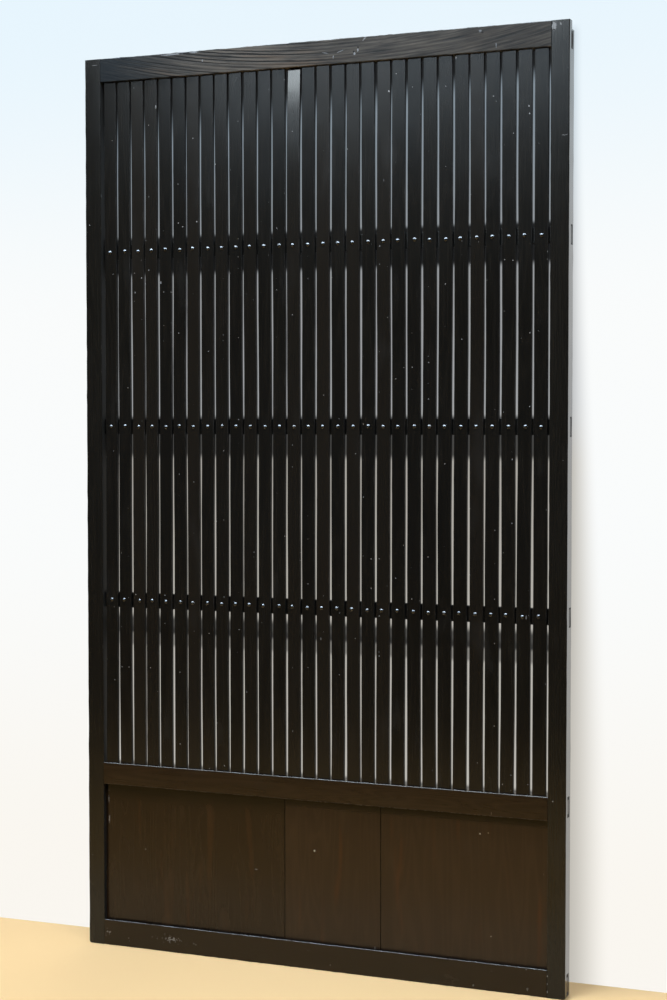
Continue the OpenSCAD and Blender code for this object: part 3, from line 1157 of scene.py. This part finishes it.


# the marks along the upper arris, near 1755 mm, are wear and also painted highlights of worn facets
HEAD_MARKS = [
    (-300.0, 1755.0, 24.0, 2.0, 0, 0.9),
    (-252.0, 1755.5, 12.0, 1.8, 0, 0.8),
    (22.0, 1733.6, 8.0, 1.0, -13, 0.55),
    (53.0, 1734.5, 8.0, 1.0, 17, 0.6),
    (38.5, 1725.0, 1.3, 3.4, 0, 0.8),
    (88.0, 1734.0, 1.8, 3.6, 0, 1.0),
    (81.0, 1727.5, 2.2, 3.4, 0, 1.0),
    (-234.0, 1738.0, 1.6, 3.0, 0, 0.8),
    (326.0, 1750.0, 3.0, 3.0, 0, 0.7),
    (356.0, 1722.0, 1.0, 6.0, 0, 0.7),
    (100.8, 1754.0, 5.0, 2.0, 50, 0.7),
]
HEAD_DENTS = [
    (88.5, 1738.8, 2.2, 2.4, 0, 0.9),
    (79.5, 1731.4, 2.2, 2.0, 0, 0.9),
    (330.0, 1747.0, 3.0, 1.8, 0, 0.7),
]
head_wood = weathered_wood("weathered_head_wood", HEAD_MARKS, HEAD_DENTS)

# %% [markdown]
# ## Shaping the rails
#
# Each rail's body is planed and chipped first, and its holes and grooves are cut last, so that no
# cut is worn.

# %% Rails
top_bar, low, high = rail_body("rail_top", "top_rail", 0.9 * MM)
rebate_low = (low.x - stile_wide - OVERRUN, front + tongue_thick, high.z - TONGUE_HIGH)
rebate_high = (high.x + stile_wide + OVERRUN, high.y + OVERRUN, high.z + OVERRUN)
cut_away(top_bar, [block("rebate", rebate_low, rebate_high)])
slat_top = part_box(SLATS[0])[1].z
cut_away(top_bar, slat_holes(low.z - OVERRUN, slat_top + MM))
note_arrises(top_bar, low, high, X)
dress(top_bar, head_wood, "top_rail_wood", "top_rail")

middle_bar, low, high = rail_body("rail_middle", "middle_rail", 0.5 * MM)
slat_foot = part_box(SLATS[0])[0].z
cut_away(middle_bar, [panel_groove(low.z - OVERRUN, low.z + GROOVE_DEEP)])
cut_away(middle_bar, slat_holes(slat_foot - 0.2 * MM, high.z + OVERRUN))
note_arrises(middle_bar, low, high, X)
dress(middle_bar, middle_wood, "frame_wood", "middle_rail")

bottom_bar, low, high = rail_body("rail_bottom", "bottom_rail", 0.7 * MM)
cut_away(bottom_bar, [panel_groove(high.z - GROOVE_DEEP, high.z + OVERRUN)])
note_arrises(bottom_bar, low, high, X)
dress(bottom_bar, bottom_wood, "frame_wood", "bottom_rail")

# %% [markdown]
# ## The cross rails
#
# Three thin rails cross behind the slats and run right through both stiles. They show as short dark
# dashes in the slits from the front and as whole bars from the back, so they get the same planing
# and wear as the frame. Their stain is darker than the frame's: a painted shade, for the shade they
# sit in behind the slats.

# %% Cross rails
CROSS_ARRIS = 0.9 * MM
CROSS_RINGS = 240
CROSS_CHIPS = 0.4 * MM
CROSS_REACH = 2 * MM
for node in CROSS_RAILS:
    low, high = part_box(node)
    low.x += TENON_SHORT
    high.x -= TENON_SHORT
    bar = planed_bar("rail_" + node.replace("_rail", ""), low, high, X, CROSS_ARRIS, CROSS_RINGS)
    push(bar, chips, -CROSS_CHIPS, group=weigh_arrises(bar, low, high, X, CROSS_REACH))
    note_arrises(bar, low, high, X)
    dress(bar, shaded_cross_wood, "cross_rail_wood", node)

# %% [markdown]
# ## The slats
#
# Thirty thin upright slats make the lattice. One is planed and then copied, each copy with its own
# mesh. No two hand-cut slats stand quite alike: each wanders by about a millimetre along its
# length, so the slits between them are not all of one width. A Displace along X with very long
# clouds gives that; the guide is moved for each slat, so that each reads another part of the
# clouds. Slat tone differs as well, and the finish takes care of that. The head of one slat has
# sprung back out of line.

# %% Slat wood
first_low, first_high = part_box(SLATS[0])
slat_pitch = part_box(SLATS[1])[0].x - first_low.x
slat_edge = (first_low.x + first_high.x) / 2 - slat_pitch / 2
SLAT_MARKS = [
    (-371.8, 1327.6, 1.5, 1.5, 0, 0.9),
    (-363.7, 1316.3, 1.5, 2.2, 0, 0.8),
    (-355.5, 1342.1, 1.4, 1.4, 0, 0.6),
    (-329.5, 1317.0, 1.6, 3.4, 0, 0.8),
    (-323.3, 1298.9, 1.4, 1.4, 0, 0.6),
    (-386.0, 1299.3, 1.4, 1.8, 0, 0.7),
    (-250.2, 1431.8, 1.5, 2.0, 0, 0.8),
    (-280.6, 1423.4, 1.4, 1.4, 0, 0.7),
    (-339.0, 1658.0, 1.5, 4.5, 0, 0.7),
    (146.8, 1655.4, 2.0, 2.2, 0, 0.9),
    (416.0, 1611.0, 1.5, 1.8, 0, 0.9),
    (416.8, 1597.3, 1.6, 1.8, 0, 0.9),
    (349.1, 1632.7, 1.5, 1.5, 0, 0.7),
]
slat_wood = stained_wood(
    "slat_wood",
    Z,
    (0.0056, 0.0054, 0.0049),
    (0.0112, 0.0103, 0.0089),
    PALE_WEAR,
    rub=0.06,
    sticks=(slat_edge, slat_pitch, (0.0128, 0.0110, 0.0090)),
    marks=SLAT_MARKS,
    broken=1.0,
    speckled=0.08,
    dust=0.05,
    lines=9.0,
    line_share=0.2,
    gloss=0.12,
    relief=0.025,
    sawn=0.35,
)
print("slats every", round(slat_pitch / MM, 2), "mm")

# %% Wander
WANDER_SIDE = 3.6 * MM
WANDER_DEEP = 1.9 * MM
WANDER_LAST = 1.2 * MM
EVENLY = 0.5  # the clouds' middle grey stays where it is
LEFTWARDS = 0.67  # a higher grey stays, so most of the slats move to the left
LAST_LEFTWARDS = 1.2
GUIDE_STEP = 3.7
DEEP_START = 171.0

wander = clouds("wander", 0.42)
bpy.ops.object.select_all(action="DESELECT")
bpy.ops.object.empty_add(location=(0, 0, 0))
guide = bpy.context.object
guide.scale = (1000.0, 1000.0, 1.0)  # so wide that only the height counts


def sway(slat, place, depth, balance, direction):
    """Moves the guide and lets the slat follow the clouds there."""
    guide.location = (0, 0, place)
    bpy.context.view_layer.update()
    push(slat, wander, depth, balance, direction, guide=guide)


print("slats wander within", round(WANDER_SIDE / MM, 1), "mm from side to side")

# %% Slats
SLAT_ARRIS = 0.45 * MM
SLAT_RINGS = 110
SLAT_CHIPS = 0.12 * MM
SLAT_REACH = 1.0 * MM
SPRUNG_SLAT = "slat_14"
SPRUNG_FROM = 1.50
SPRUNG_BACK = 5.4 * MM
SPRUNG_CURVE = 2.2


def spring_back(slat, start, end):
    """Bends the head of a slat backwards, more and more towards its end."""
    for point in slat.data.vertices:
        share = max(0.0, (point.co.z - start) / (end - start))
        point.co.y += SPRUNG_BACK * share ** SPRUNG_CURVE


model_slat = planed_bar("model_slat", first_low, first_high, Z, SLAT_ARRIS, SLAT_RINGS)
note_arrises(model_slat, first_low, first_high, Z)
slats = []
for number, node in enumerate(SLATS):
    low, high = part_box(node)
    take(model_slat)
    bpy.ops.object.duplicate(linked=False)
    slat = bpy.context.object
    slat.name = "lattice_" + node
    slat.data.name = slat.name
    bpy.ops.transform.translate(value=(low.x - first_low.x, 0, 0))
    bpy.ops.object.transform_apply(location=True)
    if node == SLATS[-1]:
        sway(slat, GUIDE_STEP * number, WANDER_LAST, LAST_LEFTWARDS, "X")
    else:
        sway(slat, GUIDE_STEP * number, WANDER_SIDE, LEFTWARDS, "X")
    sway(slat, GUIDE_STEP * number + DEEP_START, WANDER_DEEP, EVENLY, "Y")
    push(slat, chips, -SLAT_CHIPS, group=weigh_arrises(slat, low, high, Z, SLAT_REACH))
    if node == SPRUNG_SLAT:
        spring_back(slat, SPRUNG_FROM, high.z)
    slats.append(dress(slat, slat_wood, "slat_wood", node))
bpy.data.objects.remove(model_slat)
bpy.data.objects.remove(guide)
print(len(slats), "slats set")

# %% [markdown]
# ## The nails
#
# Each crossing is held by one forged nail with a domed head. The dome starts as a ball that is cut
# flat; its rim is drawn down, turned under and drawn on into the shank, so the nail is one closed
# shape. It is copied along the row, the row is joined, and a Displace then gives every head its own
# hammer marks.

# %% One nail
NAIL_WIDE = 8.5 * MM
NAIL_HIGH = 2.6 * MM
NAIL_RIM = 0.5 * MM
SHANK_WIDE = 2.2 * MM
SHANK_LONG = 13 * MM
POINT = 0.2  # the point's width, as a share of the shank's


def forged_nail():
    """A nail with its head's seat at the origin and its dome towards +Z."""
    ball = (NAIL_WIDE ** 2 / 4 + NAIL_HIGH ** 2) / (2 * NAIL_HIGH)
    put_down()
    middle = (0, 0, NAIL_HIGH - ball)
    bpy.ops.mesh.primitive_uv_sphere_add(segments=16, ring_count=18, radius=ball, location=middle)
    bpy.ops.object.transform_apply(location=True)
    nail = bpy.context.object
    bpy.ops.object.mode_set(mode="EDIT")
    bpy.ops.mesh.select_all(action="SELECT")
    bpy.ops.mesh.bisect(plane_co=(0, 0, NAIL_RIM), plane_no=(0, 0, 1), clear_inner=True)
    pick(nail, "EDGE", lambda edge: edge.is_boundary)
    bpy.ops.mesh.extrude_region_move(TRANSFORM_OT_translate={"value": (0, 0, -NAIL_RIM)})
    rim = max(edge.verts[0].co.xy.length for edge in bmesh.from_edit_mesh(nail.data).edges)
    narrow = SHANK_WIDE / 2 / rim
    bpy.ops.mesh.extrude_region_move(TRANSFORM_OT_translate={"value": (0, 0, 0)})
    bpy.ops.transform.resize(value=(narrow, narrow, 1), center_override=(0, 0, 0))
    bpy.ops.mesh.extrude_region_move(TRANSFORM_OT_translate={"value": (0, 0, -SHANK_LONG)})
    bpy.ops.transform.resize(value=(POINT, POINT, 1), center_override=(0, 0, 0))
    bpy.ops.mesh.edge_face_add()
    bpy.ops.mesh.select_all(action="SELECT")
    bpy.ops.mesh.normals_make_consistent(inside=False)
    put_down()
    nail.data.transform(Matrix.Rotation(math.radians(90), 4, "X"))
    return nail


model_nail = forged_nail()
print("a nail has", len(model_nail.data.polygons), "faces")

# %% [markdown]
# ## Nail iron
#
# Forged iron is dark and never even: scale from the fire mottles it, and a little rust sits in
# flecks. Where it rusts it is less of a metal and rougher. The domes are smooth enough to give one
# small bright point each.

# %% Nail iron
iron = Finish(bpy.data.materials.new("nail_iron"))
mottle = iron.noise(iron.place(), 420.0, 3.0)
fleck = iron.noise(iron.place(), 90.0, 2.0)
rust = iron.rise(fleck * 0.7 + mottle * 0.5, 0.62, 0.80)
iron_colour = iron.mix(mottle, (0.040, 0.042, 0.046), (0.066, 0.068, 0.074))
iron_colour = iron.mix(rust * 0.5, iron_colour, (0.050, 0.034, 0.024))
iron_rough = 0.17 + mottle * 0.12 + rust * 0.2
iron_bump = iron.bump(mottle, 0.3, 0.2 * MM)
iron.wear(Base_Color=iron_colour, Metallic=0.95 - rust * 0.5, Roughness=iron_rough, Normal=iron_bump)
print("iron has", len(iron.tree.nodes), "nodes")

# %% Rows of nails
NAIL_ASIDE = {"nails_lower": -1.8 * MM, "nails_middle": 0.1 * MM, "nails_upper": -0.4 * MM}
NAIL_TILT = 0.06
NAIL_STRAY_X = 0.9
NAIL_STRAY_Z = 0.6
NAIL_SUNK = 0.15 * MM
HAMMERED = 0.3 * MM
SLAT_PART = 14 * MM

hand = random.Random(30)
hammer = clouds("hammer", 4 * MM)


def slat_at(slat, height):
    """Middle and front of a finished slat at a height."""
    near = [point.co for point in slat.data.vertices if abs(point.co.z - height) < SLAT_PART]
    return (min(p.x for p in near) + max(p.x for p in near)) / 2, min(p.y for p in near)


for row, aside in NAIL_ASIDE.items():
    low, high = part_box(row)
    height = (low.z + high.z) / 2
    nails = []
    for slat in slats:
        middle, face = slat_at(slat, height)
        take(model_nail)
        bpy.ops.object.duplicate(linked=False)
        nail = bpy.context.object
        tilt = Matrix.Rotation(hand.uniform(-NAIL_TILT, NAIL_TILT), 4, "X")
        tilt = tilt @ Matrix.Rotation(hand.uniform(-NAIL_TILT, NAIL_TILT), 4, "Z")
        middle += aside + hand.gauss(0, NAIL_STRAY_X) * MM
        place = Vector((middle, face + NAIL_SUNK, height + hand.gauss(0, NAIL_STRAY_Z) * MM))
        nail.data.transform(Matrix.Translation(place) @ tilt)
        nails.append(nail)
    nail_row = join(nails)
    nail_row.name = "nail_row_" + row.split("_")[1]
    nail_row.data.name = nail_row.name
    push(nail_row, hammer, HAMMERED, EVENLY)
    dress(nail_row, iron.owner, "nail_iron", row)
bpy.data.objects.remove(model_nail)

# %% [markdown]
# ## The panel
#
# The foot of the door is closed by three upright boards in grooves. Where two boards meet, each is
# cut to half its thickness and they overlap, so that no light shows when the wood shrinks. The lap
# is extruded from the board's edge, and the arris beside it is eased, which draws the thin dark
# line between boards.

# %% Panel wood
PANEL_MARKS = [
    (-4.5, 226.4, 2.2, 2.2, 0, 1.0),
    (-452.3, 292.4, 1.6, 7.0, 0, 0.25),
    (-451.0, 252.0, 1.8, 9.0, 0, 0.35),
    (-369.7, 197.4, 1.6, 1.4, 0, 0.3),
    (327.0, 287.3, 1.5, 1.5, 0, 0.8),
    (342.9, 290.0, 1.2, 1.2, 0, 0.4),
    (348.4, 98.9, 1.4, 1.4, 0, 0.5),
]


def board_wood(name, ground, figure, streak, shade_deep):
    return stained_wood(
        name,
        Z,
        ground,
        figure,
        (0.40, 0.39, 0.37),
        rub=0.0,
        streak=streak,
        marks=PANEL_MARKS,
        shaded=(middle_low.z - shade_deep, middle_low.z - 7 * MM),
        seam=0.55,
        gloss=0.22,
        lines=9.0,
        line_share=0.3,
        relief=0.03,
        dust=0.02,
        start=(0.7, 0.2, 0.0),
    )


darker_board = board_wood(
    "panel_wood_darker",
    (0.0118, 0.0062, 0.0033),
    (0.0190, 0.0104, 0.0055),
    streak=(0.0280, 0.0118, 0.0045),
    shade_deep=38 * MM,
)
paler_board = board_wood(
    "panel_wood_paler",
    (0.0190, 0.0103, 0.0058),
    (0.0272, 0.0150, 0.0083),
    streak=(0.0420, 0.0145, 0.0045),
    shade_deep=20 * MM,
)

# %% Panel boards
BOARD_LAP = 6 * MM
BOARD_EASE = 1.0 * MM
BOARD_RINGS = 60
BOARD_RUNS = 9
BOARD_RUBBED = 0.25 * MM
LAP_FIT = 0.1 * MM


def panel_board(name, node, wood, lap, under_left):
    """A board, with or without a lap on its right, and with its left whole or cut to lie over a lap."""
    low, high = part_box(node)
    middle_y = (low.y + high.y) / 2
    body_low, body_high = low.copy(), high.copy()
    if lap:
        body_high.x -= BOARD_LAP

    def right_back(face):
        centre = face.calc_center_median()
        at_edge = face.normal.x > 0.99 and abs(centre.x - body_high.x) < 0.1 * MM
        return at_edge and centre.y > middle_y

    board = planed_bar(name, body_low, body_high, Z, BOARD_EASE, BOARD_RINGS)
    take(board)
    bpy.ops.object.mode_set(mode="EDIT")
    pick(board, "EDGE", lambda edge: runs_along(edge, X) and edge.calc_length() > 20 * MM)
    bpy.ops.mesh.subdivide(number_cuts=BOARD_RUNS)
    if lap:
        pick(board, "FACE", right_back)
        bpy.ops.mesh.extrude_region_move(TRANSFORM_OT_translate={"value": (BOARD_LAP, 0, 0)})
    put_down()
    if under_left:
        lap_low = (low.x - OVERRUN, middle_y - LAP_FIT, low.z - OVERRUN)
        lap_high = (low.x + BOARD_LAP, high.y + OVERRUN, high.z + OVERRUN)
        cut_away(board, [block("lap", lap_low, lap_high)])
    push(board, rubs, BOARD_RUBBED, EVENLY, "Y")
    note_arrises(board, body_low, body_high, Z)
    return dress(board, wood, "panel_wood", node)


panel_board("board_left", "panel_board_left", darker_board, lap=True, under_left=False)
panel_board("board_middle", "panel_board_middle", paler_board, lap=True, under_left=True)
panel_board("board_right", "panel_board_right", paler_board, lap=False, under_left=True)

# %% [markdown]
# ## The wedges
#
# A wedge above and below each tenon spreads it in its hole. Only the wedges' ends show, flush with
# the stiles' edges, so the solids' own shape is right and they only need a finish: rough end grain,
# which drinks the stain.

# %% End grain
end_grain = Finish(bpy.data.materials.new("wedge_end_grain"))
rings = end_grain.noise(end_grain.place((1.0, 1.0, 0.35)), 130.0, 2.0, 0.4)
pores = end_grain.noise(end_grain.place(), 900.0, 2.0)
end_colour = end_grain.mix(rings * 0.6 + pores * 0.4, (0.0060, 0.0050, 0.0040), (0.028, 0.021, 0.015))
end_bump = end_grain.bump(pores + rings, 0.5, 0.4 * MM)
end_grain.wear(Base_Color=end_colour, Roughness=0.62 + pores * 0.25, Normal=end_bump)
for node in ("wedges_left", "wedges_right"):
    piece = frame["nodes"][node]
    piece.data.materials.clear()
    piece.data.materials.append(end_grain.owner)
print("wedges finished")

# %% [markdown]
# ## Size
#
# How far the dressed door reaches past its solids' box on each side, in mm. The dressed
# door may not outgrow its solids.

# %% Size and finish
new_low, new_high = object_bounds()
growth = [*(cad_low - new_low), *(new_high - cad_high)]
print("grown by", [round(side / MM, 2) for side in growth], "mm")
